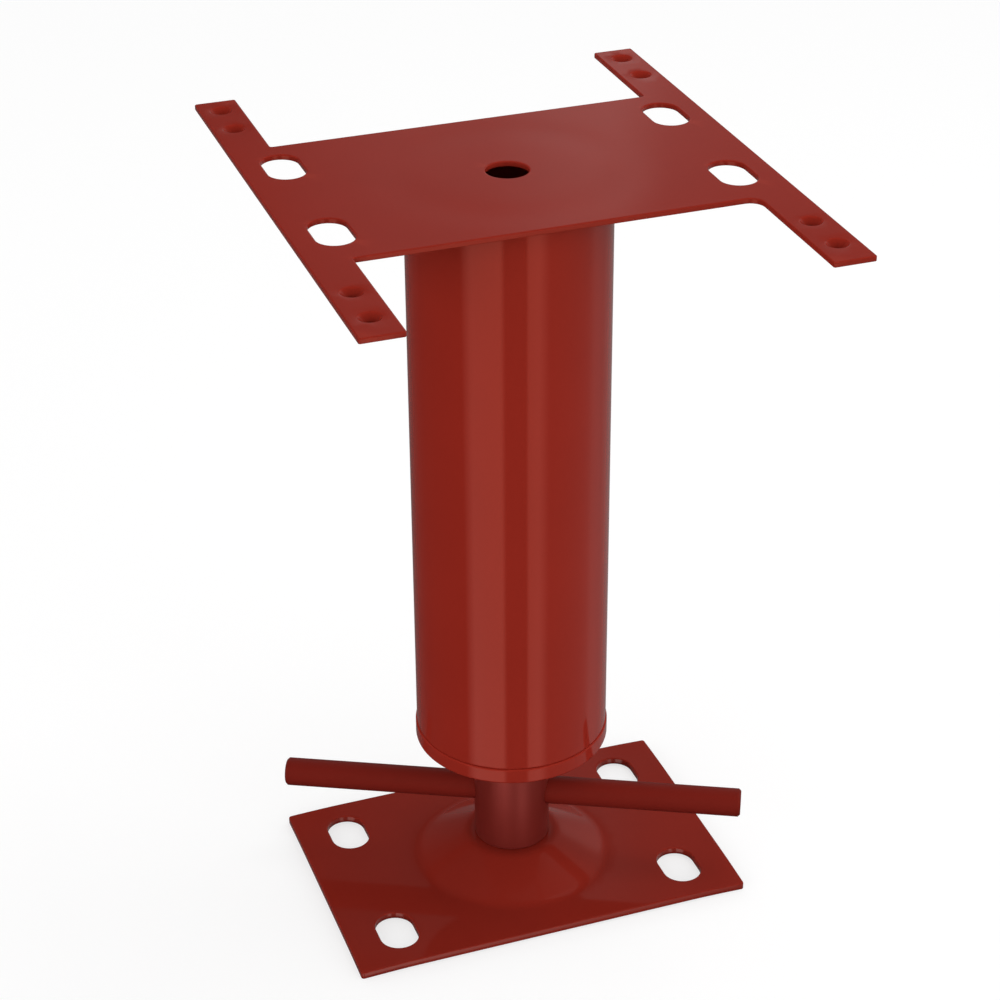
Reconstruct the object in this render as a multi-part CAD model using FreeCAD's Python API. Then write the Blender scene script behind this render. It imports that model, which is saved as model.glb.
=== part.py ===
import FreeCAD, Part
import math
import os

from FreeCAD import Vector

# Adjustable steel jack post, wound fully down, standing on the floor.
# Millimetres. Z up, origin on the floor in the axis of the tube, X along the
# long side of the base plate, -Y towards the longer pair of ears.

# Motion and clearances
lift_travel = 101.6          # how far the post rises
thread_pitch = 6.35          # rise per turn
running_clearance = 0.06     # radial, shaft in hole between pieces that turn
passing_clearance = 0.4      # radial, where the thread only passes through

# Base plate
base_length = 163.6
base_width = 107.8
base_thickness = 3.0
base_corner_radius = 1.2
base_hole_inset_x = 20.7     # edge of the sheet to the centre of the hole
base_hole_inset_y = 20.0
base_hole_length = 22.1      # along Y, over the round ends
base_hole_width = 15.5
dome_height = 14.3           # floor to the dome's flat crown
dome_crown_radius = 16.8
dome_foot_radius = 39.5
dome_crown_bend = 8.0        # outside radius where the crown turns into the cone
dome_foot_bend = 4.0         # outside radius where the cone turns into the sheet

# Screw
shank_diameter = 30.6
shank_length = 50.8
shank_foot_chamfer = 0.6
thread_diameter = 28.6
thread_end_chamfer = 2.5
tenon_diameter = 16.0
rivet_diameter = 23.0
rivet_height = 3.6
rivet_edge = 1.6
cross_hole_rise = 20.9       # foot of the shank to the centre of the turning bar

# Washer under the dome
washer_diameter = 34.0
washer_thickness = 2.5
washer_play = 0.25           # end play of the swivel

# Turning bar
bar_diameter = 11.5
bar_length = 188.0
bar_end_chamfer = 0.9
bar_angle = -26.8            # degrees from X, as it was left in the photograph

# Tube and its disc
tube_length = 233.15
tube_diameter = 76.2
tube_wall = 3.0
tube_foot_chamfer = 0.5
disc_overhang = 0.5          # past the tube, all round
disc_thickness = 6.35
disc_edge_chamfer = 0.4

# Nut inside the tube
nut_across_flats = 46.0
nut_height = 28.2
nut_chamfer_angle = 30.0
nut_weld_leg = 4.0

# Top plate
plate_thickness = 2.0
plate_length = 179.4         # over both ears, along X
plate_width = 104.8          # of the main plate, along Y
ear_width = 15.9
ear_reach_back = 104.4       # tube axis to the ends of the +Y ears
ear_reach_front = 111.5      # tube axis to the ends of the -Y ears
ear_corner_radius = 0.8
notch_radius = 1.0
notch_radius_right_front = 5.0
hole_pattern_offset = 1.5    # the five bolt holes sit this far towards +Y
top_hole_inset_x = 15.3      # outer edge of the ear to the centre of the hole
top_hole_inset_y = 21.7      # edge of the main plate to the centre of the hole, before the offset
top_hole_length = 23.5       # along Y, over the round ends
top_hole_width = 14.0
centre_hole_diameter = 15.9
nail_inset_back = 9.9        # end of a +Y ear to its outer nail hole
nail_inset_front = 14.0      # end of a -Y ear to its outer nail hole
nail_pitch = 19.8            # between the two nail holes of an ear
nail_hole_diameter = 4.0
nail_land = 0.9              # straight length of the nail hole
nail_seat_diameter = 8.0
nail_seat_depth = 1.5        # below the sheet's underside
nail_lip_wall = 1.5          # steel round the hole at the seat's foot
nail_shoulder = 0.8          # seat's foot spreads this far past its mouth
top_weld_leg = 3.2
top_weld_hollow = 0.3        # how far the bead's face lies inside a flat one

# Levels, from the floor up
crown_underside = dome_height - base_thickness
disc_bottom = dome_height + shank_length
tube_bottom = disc_bottom + disc_thickness
tube_top = tube_bottom + tube_length
plate_bottom = tube_top
plate_top = plate_bottom + plate_thickness
nut_top = tube_bottom + nut_height
thread_top = nut_top + lift_travel + thread_pitch
bar_height = dome_height + cross_hole_rise

AXIS = Vector(0, 0, 1)


def outline_prism(points, radii, bottom, height):
    """Prism over a closed outline whose corners are rounded by the given radii."""
    count = len(points)
    arcs = []
    for i in range(count):
        here = Vector(points[i][0], points[i][1], bottom)
        before = Vector(points[i - 1][0], points[i - 1][1], bottom)
        after = Vector(points[(i + 1) % count][0], points[(i + 1) % count][1], bottom)
        to_before = (before - here).normalize()
        to_after = (after - here).normalize()
        half = to_before.getAngle(to_after) / 2.0
        reach = radii[i] / math.tan(half)
        start = here + to_before * reach
        end = here + to_after * reach
        middle_dir = (to_before + to_after).normalize()
        centre = here + middle_dir * (radii[i] / math.sin(half))
        arcs.append((start, centre - middle_dir * radii[i], end))
    edges = []
    for i in range(count):
        start, middle, end = arcs[i]
        edges.append(Part.Arc(start, middle, end).toShape())
        edges.append(Part.makeLine(end, arcs[(i + 1) % count][0]))
    face = Part.Face(Part.Wire(edges))
    return face.extrude(Vector(0, 0, height))


def slot(centre_x, centre_y, length, width, bottom, height):
    """Cutter for a round-ended slot along Y."""
    low = Vector(centre_x, centre_y, bottom)
    reach = (length - width) / 2.0
    straight = Part.makeBox(width, reach * 2.0, height, low - Vector(width / 2.0, reach, 0))
    back = Part.makeCylinder(width / 2.0, height, low + Vector(0, reach, 0), AXIS)
    front = Part.makeCylinder(width / 2.0, height, low - Vector(0, reach, 0), AXIS)
    return straight.fuse([back, front]).removeSplitter()


def four_places(half_x, front_y, back_y):
    """The same four places on both sides of the YZ plane."""
    return [(side * half_x, y) for side in (-1, 1) for y in (front_y, back_y)]


def ring(outer_radius, inner_radius, bottom, height):
    low = Vector(0, 0, bottom)
    outer = Part.makeCylinder(outer_radius, height, low, AXIS)
    inner = Part.makeCylinder(inner_radius, height, low, AXIS)
    return outer.cut(inner)


def turned(points):
    """Solid of revolution about Z from (radius, height) points."""
    corners = [Vector(r, 0, z) for r, z in points]
    face = Part.Face(Part.makePolygon(corners + [corners[0]]))
    return face.revolve(Vector(0, 0, 0), AXIS, 360)


def polar(centre, radius, angle):
    return Vector(centre.x + radius * math.cos(angle), 0, centre.z + radius * math.sin(angle))


def dome_slope():
    """Angle of the dome's straight flank that joins its two bends."""
    rise = dome_height - base_thickness
    run = dome_foot_radius - dome_crown_radius
    bends = dome_crown_bend + dome_foot_bend
    return math.acos(-bends / math.hypot(rise - bends, run)) - math.atan2(run, rise - bends)


def bend_arc(centre, radius, start, sweep):
    return [polar(centre, radius, start + sweep * k / 2.0) for k in (0, 1, 2)]


def dome_shell():
    """The pressed dome: a flat crown, a straight conical flank and a bend at either end of it."""
    bore = tenon_diameter / 2.0 + running_clearance
    slope = dome_slope()
    top = math.pi / 2.0
    upper = Vector(dome_crown_radius, 0, dome_height - dome_crown_bend)
    lower = Vector(dome_foot_radius, 0, base_thickness + dome_foot_bend)
    outside_upper = bend_arc(upper, dome_crown_bend, top, -slope)
    outside_lower = bend_arc(lower, dome_foot_bend, -top - slope, slope)
    inside_lower = bend_arc(lower, dome_foot_bend + base_thickness, -top, -slope)
    inside_upper = bend_arc(upper, dome_crown_bend - base_thickness, top - slope, slope)
    crown_top = Vector(bore, 0, dome_height)
    crown_under = Vector(bore, 0, crown_underside)
    edges = [
        Part.makeLine(crown_top, outside_upper[0]),
        Part.Arc(*outside_upper).toShape(),
        Part.makeLine(outside_upper[2], outside_lower[0]),
        Part.Arc(*outside_lower).toShape(),
        Part.makeLine(outside_lower[2], inside_lower[0]),
        Part.Arc(*inside_lower).toShape(),
        Part.makeLine(inside_lower[2], inside_upper[0]),
        Part.Arc(*inside_upper).toShape(),
        Part.makeLine(inside_upper[2], crown_under),
        Part.makeLine(crown_under, crown_top),
    ]
    face = Part.Face(Part.Wire(edges))
    return face.revolve(Vector(0, 0, 0), AXIS, 360)


def base_plate():
    half_x = base_length / 2.0
    half_y = base_width / 2.0
    corners = [(-half_x, -half_y), (half_x, -half_y), (half_x, half_y), (-half_x, half_y)]
    sheet = outline_prism(corners, [base_corner_radius] * 4, 0.0, base_thickness)
    sheet = sheet.cut(Part.makeCylinder(dome_foot_radius, base_thickness))
    sheet = sheet.fuse(dome_shell())
    hole_x = half_x - base_hole_inset_x
    hole_y = half_y - base_hole_inset_y
    for x, y in four_places(hole_x, -hole_y, hole_y):
        hole = slot(x, y, base_hole_length, base_hole_width, -base_thickness, base_thickness * 3.0)
        sheet = sheet.cut(hole)
    return sheet.removeSplitter()


def lift_screw():
    """One bar: riveted end, tenon, plain shank with the cross hole, thread at its outside diameter."""
    shank = shank_diameter / 2.0
    thread = thread_diameter / 2.0
    tenon = tenon_diameter / 2.0
    rivet = rivet_diameter / 2.0
    rivet_top = crown_underside - washer_play - washer_thickness
    rivet_bottom = rivet_top - rivet_height
    body = turned([
        (0, rivet_bottom),
        (rivet - rivet_edge, rivet_bottom),
        (rivet, rivet_bottom + rivet_edge),
        (rivet, rivet_top),
        (tenon, rivet_top),
        (tenon, dome_height),
        (shank - shank_foot_chamfer, dome_height),
        (shank, dome_height + shank_foot_chamfer),
        (shank, disc_bottom),
        (thread, disc_bottom),
        (thread, thread_top - thread_end_chamfer),
        (thread - thread_end_chamfer, thread_top),
        (0, thread_top),
    ])
    return body.cut(bar_cylinder(shank_diameter))


def bar_direction():
    turn = math.radians(bar_angle)
    return Vector(math.cos(turn), math.sin(turn), 0)


def bar_cylinder(half_length):
    along = bar_direction()
    start = Vector(0, 0, bar_height) - along * half_length
    return Part.makeCylinder(bar_diameter / 2.0, half_length * 2.0, start, along)


def turning_bar():
    bar = bar_cylinder(bar_length / 2.0)
    rims = [e for e in bar.Edges if e.Curve.TypeId == "Part::GeomCircle"]
    return bar.makeChamfer(bar_end_chamfer, rims)


def retaining_washer():
    top = crown_underside - washer_play
    return ring(washer_diameter / 2.0, tenon_diameter / 2.0, top - washer_thickness, washer_thickness)


def bearing_disc():
    outer = tube_diameter / 2.0 + disc_overhang
    bore = thread_diameter / 2.0 + passing_clearance
    return turned([
        (bore, disc_bottom),
        (outer - disc_edge_chamfer, disc_bottom),
        (outer, disc_bottom + disc_edge_chamfer),
        (outer, tube_bottom - disc_edge_chamfer),
        (outer - disc_edge_chamfer, tube_bottom),
        (bore, tube_bottom),
    ])


def outer_tube():
    outer = tube_diameter / 2.0
    inner = outer - tube_wall
    return turned([
        (inner, tube_bottom),
        (outer - tube_foot_chamfer, tube_bottom),
        (outer, tube_bottom + tube_foot_chamfer),
        (outer, tube_top),
        (inner, tube_top),
    ])


def hexagon_corner(across_flats):
    """Axis to a corner of the hexagon."""
    return across_flats / 2.0 / math.cos(math.radians(30))


def hexagon(across_flats, level):
    corner = hexagon_corner(across_flats)
    points = []
    for i in range(7):
        turn = math.radians(60 * i)
        points.append(Vector(corner * math.cos(turn), corner * math.sin(turn), level))
    return Part.makePolygon(points)


def lift_nut():
    """Plain hexagon nut, its top corners turned off, bored to the thread's outside diameter."""
    corner = hexagon_corner(nut_across_flats)
    flat = nut_across_flats / 2.0
    bore = thread_diameter / 2.0 + running_clearance
    prism = Part.Face(hexagon(nut_across_flats, tube_bottom)).extrude(Vector(0, 0, nut_height))
    outside = corner + passing_clearance
    drop = (outside - flat) * math.tan(math.radians(nut_chamfer_angle))
    turned_top = turned([
        (0, tube_bottom),
        (outside, tube_bottom),
        (outside, nut_top - drop),
        (flat, nut_top),
        (0, nut_top),
    ])
    blank = prism.common(turned_top)
    return blank.cut(Part.makeCylinder(bore, nut_height, Vector(0, 0, tube_bottom), AXIS))


def nut_weld():
    """Fillet bead all round the foot of the nut."""
    foot = hexagon(nut_across_flats + 2.0 * nut_weld_leg, tube_bottom)
    head = hexagon(nut_across_flats, tube_bottom + nut_weld_leg)
    bead = Part.makeLoft([foot, head], True, True)
    prism = Part.Face(hexagon(nut_across_flats, tube_bottom)).extrude(Vector(0, 0, nut_height))
    return bead.cut(prism)


def top_weld():
    """Fillet bead all round the head of the tube, under the top plate."""
    wall = tube_diameter / 2.0
    reach = top_weld_leg / 2.0 - top_weld_hollow
    middle = Vector(wall + reach, 0, tube_top - reach)
    low = Vector(wall, 0, tube_top - top_weld_leg)
    high = Vector(wall + top_weld_leg, 0, tube_top)
    corner = Vector(wall, 0, tube_top)
    edges = [
        Part.Arc(low, middle, high).toShape(),
        Part.makeLine(high, corner),
        Part.makeLine(corner, low),
    ]
    return Part.Face(Part.Wire(edges)).revolve(Vector(0, 0, 0), AXIS, 360)


def plate_blank():
    half_x = plate_length / 2.0
    inner_x = half_x - ear_width
    half_y = plate_width / 2.0
    outer = ear_corner_radius
    notch = notch_radius
    corners = [
        (-half_x, -ear_reach_front, outer),
        (-inner_x, -ear_reach_front, outer),
        (-inner_x, -half_y, notch),
        (inner_x, -half_y, notch_radius_right_front),
        (inner_x, -ear_reach_front, outer),
        (half_x, -ear_reach_front, outer),
        (half_x, ear_reach_back, outer),
        (inner_x, ear_reach_back, outer),
        (inner_x, half_y, notch),
        (-inner_x, half_y, notch),
        (-inner_x, ear_reach_back, outer),
        (-half_x, ear_reach_back, outer),
    ]
    points = [(x, y) for x, y, radius in corners]
    radii = [radius for x, y, radius in corners]
    return outline_prism(points, radii, plate_bottom, plate_thickness)


def nail_seat(x, y):
    """The sheet pressed down round one nail hole, and the cutter for its funnel."""
    seat = nail_seat_diameter / 2.0
    hole = nail_hole_diameter / 2.0
    low = plate_bottom - nail_seat_depth
    half_way = plate_bottom + plate_thickness / 2.0
    lip = turned([
        (0, low),
        (hole + nail_lip_wall, low),
        (seat + nail_shoulder, plate_bottom),
        (seat + nail_shoulder, half_way),
        (0, half_way),
    ])
    funnel = turned([
        (0, low - plate_thickness),
        (hole, low - plate_thickness),
        (hole, low + nail_land),
        (seat, plate_top),
        (seat, plate_top + plate_thickness),
        (0, plate_top + plate_thickness),
    ])
    lip.translate(Vector(x, y, 0))
    funnel.translate(Vector(x, y, 0))
    return lip, funnel


def top_plate():
    plate = plate_blank()
    below = plate_bottom - plate_thickness
    through = plate_thickness * 3.0
    hole_x = plate_length / 2.0 - top_hole_inset_x
    hole_y = plate_width / 2.0 - top_hole_inset_y
    for x, y in four_places(hole_x, hole_pattern_offset - hole_y, hole_pattern_offset + hole_y):
        plate = plate.cut(slot(x, y, top_hole_length, top_hole_width, below, through))
    centre_low = Vector(0, hole_pattern_offset, below)
    plate = plate.cut(Part.makeCylinder(centre_hole_diameter / 2.0, through, centre_low, AXIS))
    ear_x = (plate_length - ear_width) / 2.0
    front_y = -(ear_reach_front - nail_inset_front)
    back_y = ear_reach_back - nail_inset_back
    nails = four_places(ear_x, front_y, back_y)
    nails += four_places(ear_x, front_y + nail_pitch, back_y - nail_pitch)
    for x, y in nails:
        lip, funnel = nail_seat(x, y)
        plate = plate.fuse(lip).cut(funnel)
    return plate.removeSplitter()


def write(name, shape):
    shape.exportStep("parts/" + name + ".step")
    print(name, "solids", len(shape.Solids), "volume", round(shape.Volume))


os.makedirs("parts", exist_ok=True)
write("base_plate", base_plate())
write("retaining_washer", retaining_washer())
write("lift_screw", lift_screw())
write("turning_bar", turning_bar())
write("bearing_disc", bearing_disc())
write("lift_nut", lift_nut())
write("nut_weld", nut_weld())
write("outer_tube", outer_tube())
write("top_weld", top_weld())
write("top_plate", top_plate())
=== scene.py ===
import bisect
import math

import bmesh
import bpy
from mathutils import Matrix, Vector
from mathutils.geometry import delaunay_2d_cdt


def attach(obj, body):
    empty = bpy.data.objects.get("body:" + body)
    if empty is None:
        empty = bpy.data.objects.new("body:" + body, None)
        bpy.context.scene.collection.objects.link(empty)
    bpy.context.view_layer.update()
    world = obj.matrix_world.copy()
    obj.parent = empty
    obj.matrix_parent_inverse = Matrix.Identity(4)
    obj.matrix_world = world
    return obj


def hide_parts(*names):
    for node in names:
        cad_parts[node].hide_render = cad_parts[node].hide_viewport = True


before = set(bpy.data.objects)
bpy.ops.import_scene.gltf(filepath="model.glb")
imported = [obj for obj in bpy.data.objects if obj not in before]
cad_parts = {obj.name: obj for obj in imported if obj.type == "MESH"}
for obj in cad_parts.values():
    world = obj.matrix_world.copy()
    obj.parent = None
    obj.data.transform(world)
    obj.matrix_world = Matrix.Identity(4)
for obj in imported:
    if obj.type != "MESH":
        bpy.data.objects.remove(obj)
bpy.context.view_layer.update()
mm = 0.001
seamJoin = 0.00002  # metres between points that become one
rimClearance = 1.3  # millimetres from an outline to the nearest point inside a sheet
supportReach = 0.35  # millimetres from a corner arc to the point that holds its shading
print("frame loaded:", len(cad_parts), "nodes")


# ---- shared mesh helpers

def newObject(name, data):
    made = bpy.data.objects.new(name, data)
    bpy.context.scene.collection.objects.link(made)
    return made


def addPiece(name, mesh, material):
    mesh.materials.clear()
    mesh.materials.append(material)
    return newObject(name, mesh)


def bakedMesh(name, work):
    # what the object's modifiers make of it
    bpy.context.view_layer.update()
    made = bpy.data.meshes.new_from_object(work.evaluated_get(bpy.context.evaluated_depsgraph_get()))
    made.name = name
    return made


def smoothMesh(mesh, sharpAngle=None):
    for face in mesh.polygons:
        face.use_smooth = True
    if sharpAngle is not None:
        mesh.set_sharp_from_angle(angle=math.radians(sharpAngle))


def cornerRounding(size, turnSteps=4):
    # quarter round from the flat face (inset = size) to the wall (inset = 0), drop measured from the face
    out = []
    for k in range(turnSteps + 1):
        a = math.pi / 2 * k / turnSteps
        out.append((size * (1 - math.sin(a)), size * (1 - math.cos(a))))
    return out


def faceOutward(mesh):
    work = bmesh.new()
    work.from_mesh(mesh)
    bmesh.ops.recalc_face_normals(work, faces=work.faces)
    work.to_mesh(mesh)
    work.free()


def latheMesh(name, profile, around, closed=False):
    # (radius, height) pairs in millimetres, turned about Z; open ends on the axis are closed by a pole
    verts = []
    rings = []
    for radius, height in profile:
        if radius < 1e-6:
            rings.append([len(verts)])
            verts.append((0, 0, height * mm))
            continue
        rings.append(list(range(len(verts), len(verts) + around)))
        for k in range(around):
            a = 2 * math.pi * k / around
            verts.append((radius * math.cos(a) * mm, radius * math.sin(a) * mm, height * mm))
    faces = []
    pairs = list(zip(rings, rings[1:]))
    if closed:
        pairs.append((rings[-1], rings[0]))
    for low, high in pairs:
        for k in range(around):
            n = (k + 1) % around
            if len(low) == 1 and len(high) == 1:
                continue
            if len(low) == 1:
                faces.append((low[0], high[n], high[k]))
            elif len(high) == 1:
                faces.append((low[k], low[n], high[0]))
            else:
                faces.append((low[k], low[n], high[n], high[k]))
    mesh = bpy.data.meshes.new(name)
    mesh.from_pydata(verts, [], faces)
    faceOutward(mesh)
    return mesh


def roundedPath(points, steps=3):
    # (radius, height, corner radius) list to a profile with real corner arcs and a support point each side of them
    out = []
    count = len(points)
    for i, (r, z, rounding) in enumerate(points):
        here = Vector((r, z))
        if rounding <= 0 or i in (0, count - 1):
            out.append((r, z))
            continue
        before = (Vector(points[i - 1][:2]) - here).normalized()
        after = (Vector(points[i + 1][:2]) - here).normalized()
        half = before.angle(after) / 2
        reach = rounding / math.tan(half)
        centre = here + (before + after).normalized() * (rounding / math.sin(half))
        start = here + before * reach
        end = here + after * reach
        support = min(supportReach, rounding)
        out.append(tuple(start + before * support))
        a0 = math.atan2(*(start - centre).yx)
        a1 = math.atan2(*(end - centre).yx)
        turn = (a1 - a0 + math.pi) % (2 * math.pi) - math.pi
        for k in range(steps + 1):
            a = a0 + turn * k / steps
            out.append((centre.x + rounding * math.cos(a), centre.y + rounding * math.sin(a)))
        out.append(tuple(end + after * support))
    return out


def loopFromCorners(corners, arcSteps, runStep):
    # closed outline, anticlockwise, from (x, y, corner radius); straight runs are divided
    count = len(corners)
    arcs = []
    for i in range(count):
        here = Vector(corners[i][:2])
        before = (Vector(corners[i - 1][:2]) - here).normalized()
        after = (Vector(corners[(i + 1) % count][:2]) - here).normalized()
        radius = corners[i][2]
        half = before.angle(after) / 2
        centre = here + (before + after).normalized() * (radius / math.sin(half))
        start = here + before * (radius / math.tan(half))
        end = here + after * (radius / math.tan(half))
        a0 = math.atan2(*(start - centre).yx)
        a1 = math.atan2(*(end - centre).yx)
        turn = (a1 - a0 + math.pi) % (2 * math.pi) - math.pi
        arcs.append([centre + radius * Vector((math.cos(a0 + turn * k / arcSteps),
                                               math.sin(a0 + turn * k / arcSteps))) for k in range(arcSteps + 1)])
    loop = []
    for i in range(count):
        loop += arcs[i]
        start, end = arcs[i][-1], arcs[(i + 1) % count][0]
        parts = max(1, int((end - start).length / runStep))
        loop += [start.lerp(end, k / parts) for k in range(1, parts)]
    return loop


def circleLoop(x, y, radius, count):
    return [Vector((x + radius * math.cos(2 * math.pi * k / count),
                    y + radius * math.sin(2 * math.pi * k / count))) for k in range(count)]


def slotLoop(x, y, length, width, arcSteps=20, runSteps=3):
    # round-ended slot along Y, anticlockwise
    r = width / 2
    reach = (length - width) / 2
    loop = []
    for side in (1, -1):
        start = 0 if side > 0 else math.pi
        for k in range(arcSteps + 1):
            a = start + math.pi * k / arcSteps
            loop.append(Vector((x + r * math.cos(a), y + side * reach + r * math.sin(a))))
        loop += [Vector((x - side * r, y + side * reach * (1 - 2 * k / runSteps))) for k in range(1, runSteps)]
    return loop


def intoMaterial(loop, isHole):
    # unit direction into the sheet at every point of an anticlockwise loop, stretched so that insets stay parallel
    out = []
    count = len(loop)
    for i in range(count):
        a = (loop[i] - loop[i - 1]).normalized()
        b = (loop[(i + 1) % count] - loop[i]).normalized()
        normal = (Vector((-a.y, a.x)) + Vector((-b.y, b.x))).normalized()
        normal /= max(0.5, normal.dot(Vector((-a.y, a.x))))
        out.append(-normal if isHole else normal)
    return out


def insideLoop(x, y, loop):
    inside = False
    j = len(loop) - 1
    for i in range(len(loop)):
        a, b = loop[i], loop[j]
        if (a.y > y) != (b.y > y) and x < (b.x - a.x) * (y - a.y) / (b.y - a.y) + a.x:
            inside = not inside
        j = i
    return inside


def fillSheet(loops, extra, clearance):
    # triangles over the first loop less the others, with the extra points inside
    points = []
    edges = []
    for loop in loops:
        base = len(points)
        points += loop
        edges += [(base + k, base + (k + 1) % len(loop)) for k in range(len(loop))]
    rim = len(points)
    rimX = sorted((p.x, p.y) for p in points)
    for q in extra:
        lo = bisect.bisect_left(rimX, (q.x - clearance, -1e9))
        hi = bisect.bisect_right(rimX, (q.x + clearance, 1e9))
        if any((q.x - px) ** 2 + (q.y - py) ** 2 < clearance ** 2 for px, py in rimX[lo:hi]):
            continue
        if not insideLoop(q.x, q.y, loops[0]) or any(insideLoop(q.x, q.y, h) for h in loops[1:]):
            continue
        points.append(q)
    made = delaunay_2d_cdt(points, edges, [], 0, 1e-7)
    verts, faces, origins = made[0], made[2], made[3]
    keep = []
    for face in faces:
        c = sum((verts[k] for k in face), Vector((0, 0))) / 3
        if insideLoop(c.x, c.y, loops[0]) and not any(insideLoop(c.x, c.y, h) for h in loops[1:]):
            keep.append(face)
    order = [origins[k][0] for k in range(len(verts))]
    return points, rim, [[order[k] for k in face] for face in keep]


def sheetMesh(name, outline, holes, grid, heights):
    # outline and holes: (loop, wall) with wall = [(inset, level, drop)], level 0 at the top face and 1 at the
    # underside, drop in millimetres below that level; heights(x, y) gives top and underside
    verts = []
    faces = []
    topLoops, lowLoops, topIds, lowIds = [], [], [], []
    for index, (loop, wall) in enumerate([outline] + holes):
        into = intoMaterial(loop, index > 0)
        rings = []
        for inset, level, drop in wall:
            ring = []
            for p, n in zip(loop, into):
                q = p + n * inset
                top, low = heights(q.x, q.y)
                z = top + (low - top) * level - drop
                ring.append(len(verts))
                verts.append((q.x * mm, q.y * mm, z * mm))
            rings.append(ring)
        for upper, lower in zip(rings, rings[1:]):
            for k in range(len(loop)):
                n = (k + 1) % len(loop)
                quad = (upper[k], lower[k], lower[n], upper[n])
                faces.append(quad if index == 0 else quad[::-1])
        topLoops.append([p + n * wall[0][0] for p, n in zip(loop, into)])
        lowLoops.append([p + n * wall[-1][0] for p, n in zip(loop, into)])
        topIds += rings[0]
        lowIds += rings[-1]
    for loops, ids, side in ((topLoops, topIds, 0), (lowLoops, lowIds, 1)):
        points, rim, triangles = fillSheet(loops, grid, rimClearance)
        place = list(ids)
        for q in points[rim:]:
            place.append(len(verts))
            verts.append((q.x * mm, q.y * mm, heights(q.x, q.y)[side] * mm))
        for tri in triangles:
            a, b, c = (points[k] for k in tri)
            upward = (b - a).cross(c - a) > 0
            ids3 = [place[k] for k in tri]
            faces.append(ids3 if upward == (side == 0) else ids3[::-1])
    mesh = bpy.data.meshes.new(name)
    mesh.from_pydata(verts, [], faces)
    mesh.validate()
    smoothMesh(mesh)
    return mesh


def gridPoints(halfX, lowY, highY, step):
    # staggered rows, so that the triangles come out even
    out = []
    rows = int((highY - lowY) / (step * 0.87))  # rows of even triangles lie 0.87 of a side apart
    for j in range(rows + 1):
        y = lowY + (highY - lowY) * j / rows
        count = int(2 * halfX / step)
        for i in range(count + 1):
            out.append(Vector((-halfX + (i + 0.5 * (j % 2)) * 2 * halfX / count, y)))
    return out


# ---- materials

def nodeTree(material):
    material.use_nodes = True
    tree = material.node_tree
    tree.nodes.clear()
    return tree


def addNode(tree, kind, label, values=None, **settings):
    # values go to the input sockets, settings to the node itself
    node = tree.nodes.new(kind)
    node.label = label
    node.name = label
    for key, value in settings.items():
        setattr(node, key, value)
    for key, value in (values or {}).items():
        node.inputs[key].default_value = value
    return node


def wire(tree, *rows):
    # each row: a node, its output, the next node, its input
    for start, output, end, entry in rows:
        tree.links.new(start.outputs[output], end.inputs[entry])


def paintMaterial(name, look):
    # gloss enamel over steel: mottled pigment, faint orange peel, and a lighter red on sharp edges that is a painted
    # highlight
    material = bpy.data.materials.new(name)
    tree = nodeTree(material)
    place = addNode(tree, "ShaderNodeTexCoord", "place")
    patches = addNode(tree, "ShaderNodeTexNoise", "pigment patches",
                      {"Scale": look["patchScale"], "Detail": 4, "Roughness": 0.55})
    specks = addNode(tree, "ShaderNodeTexNoise", "pigment specks", {"Scale": look["speckScale"], "Detail": 3})
    tint = addNode(tree, "ShaderNodeValToRGB", "pigment range")
    ramp = tint.color_ramp
    ramp.elements[0].position, ramp.elements[1].position = look["tintRange"]
    ramp.elements[0].color = [c * (1 - look["variation"]) for c in look["color"]] + [1]
    ramp.elements[1].color = [c * (1 + look["variation"]) for c in look["color"]] + [1]
    blend = addNode(tree, "ShaderNodeMix", "specks over patches", {"Factor": look["speckShare"]}, data_type="FLOAT")
    # sharp edges, found by pointiness, get a lighter red: a painted highlight along the edges
    edge = addNode(tree, "ShaderNodeNewGeometry", "edges")
    edgeRamp = addNode(tree, "ShaderNodeMapRange", "edge share",
                       {"From Min": look["edgeRange"][0], "From Max": look["edgeRange"][1],
                        "To Max": look["edgeHighlightShare"]})
    edgeHighlightMix = addNode(tree, "ShaderNodeMix", "painted edge highlight", {"B": look["edgeHighlightColor"] + [1]}, data_type="RGBA")
    rough = addNode(tree, "ShaderNodeMapRange", "gloss range",
                    {"To Min": look["roughness"] * (1 - look["glossSpread"]),
                     "To Max": look["roughness"] * (1 + look["glossSpread"])})
    peel = addNode(tree, "ShaderNodeTexNoise", "orange peel", {"Scale": look["peelScale"], "Detail": 1})
    sway = addNode(tree, "ShaderNodeTexNoise", "slow waves", {"Scale": look["waveScale"], "Detail": 1})
    peelBump = addNode(tree, "ShaderNodeBump", "orange peel bump", {"Strength": 1, "Distance": look["peelDepth"]})
    swayBump = addNode(tree, "ShaderNodeBump", "slow wave bump", {"Strength": 1, "Distance": look["waveDepth"]})
    paint = addNode(tree, "ShaderNodeBsdfPrincipled", "paint",
                    {"IOR": look["ior"], "Specular IOR Level": 0.5, "Specular Tint": look["shineTint"] + [1]})
    out = addNode(tree, "ShaderNodeOutputMaterial", "out")
    wire(tree, (place, "Object", patches, "Vector"), (place, "Object", specks, "Vector"),
         (place, "Object", peel, "Vector"), (place, "Object", sway, "Vector"), (patches, "Fac", blend, "A"),
         (specks, "Fac", blend, "B"), (blend, "Result", tint, "Fac"), (edge, "Pointiness", edgeRamp, "Value"),
         (edgeRamp, "Result", edgeHighlightMix, "Factor"), (tint, "Color", edgeHighlightMix, "A"),
         (edgeHighlightMix, "Result", paint, "Base Color"), (patches, "Fac", rough, "Value"),
         (rough, "Result", paint, "Roughness"), (sway, "Fac", swayBump, "Height"),
         (peel, "Fac", peelBump, "Height"), (swayBump, "Normal", peelBump, "Normal"),
         (peelBump, "Normal", paint, "Normal"), (paint, "BSDF", out, "Surface"))
    return material


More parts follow.
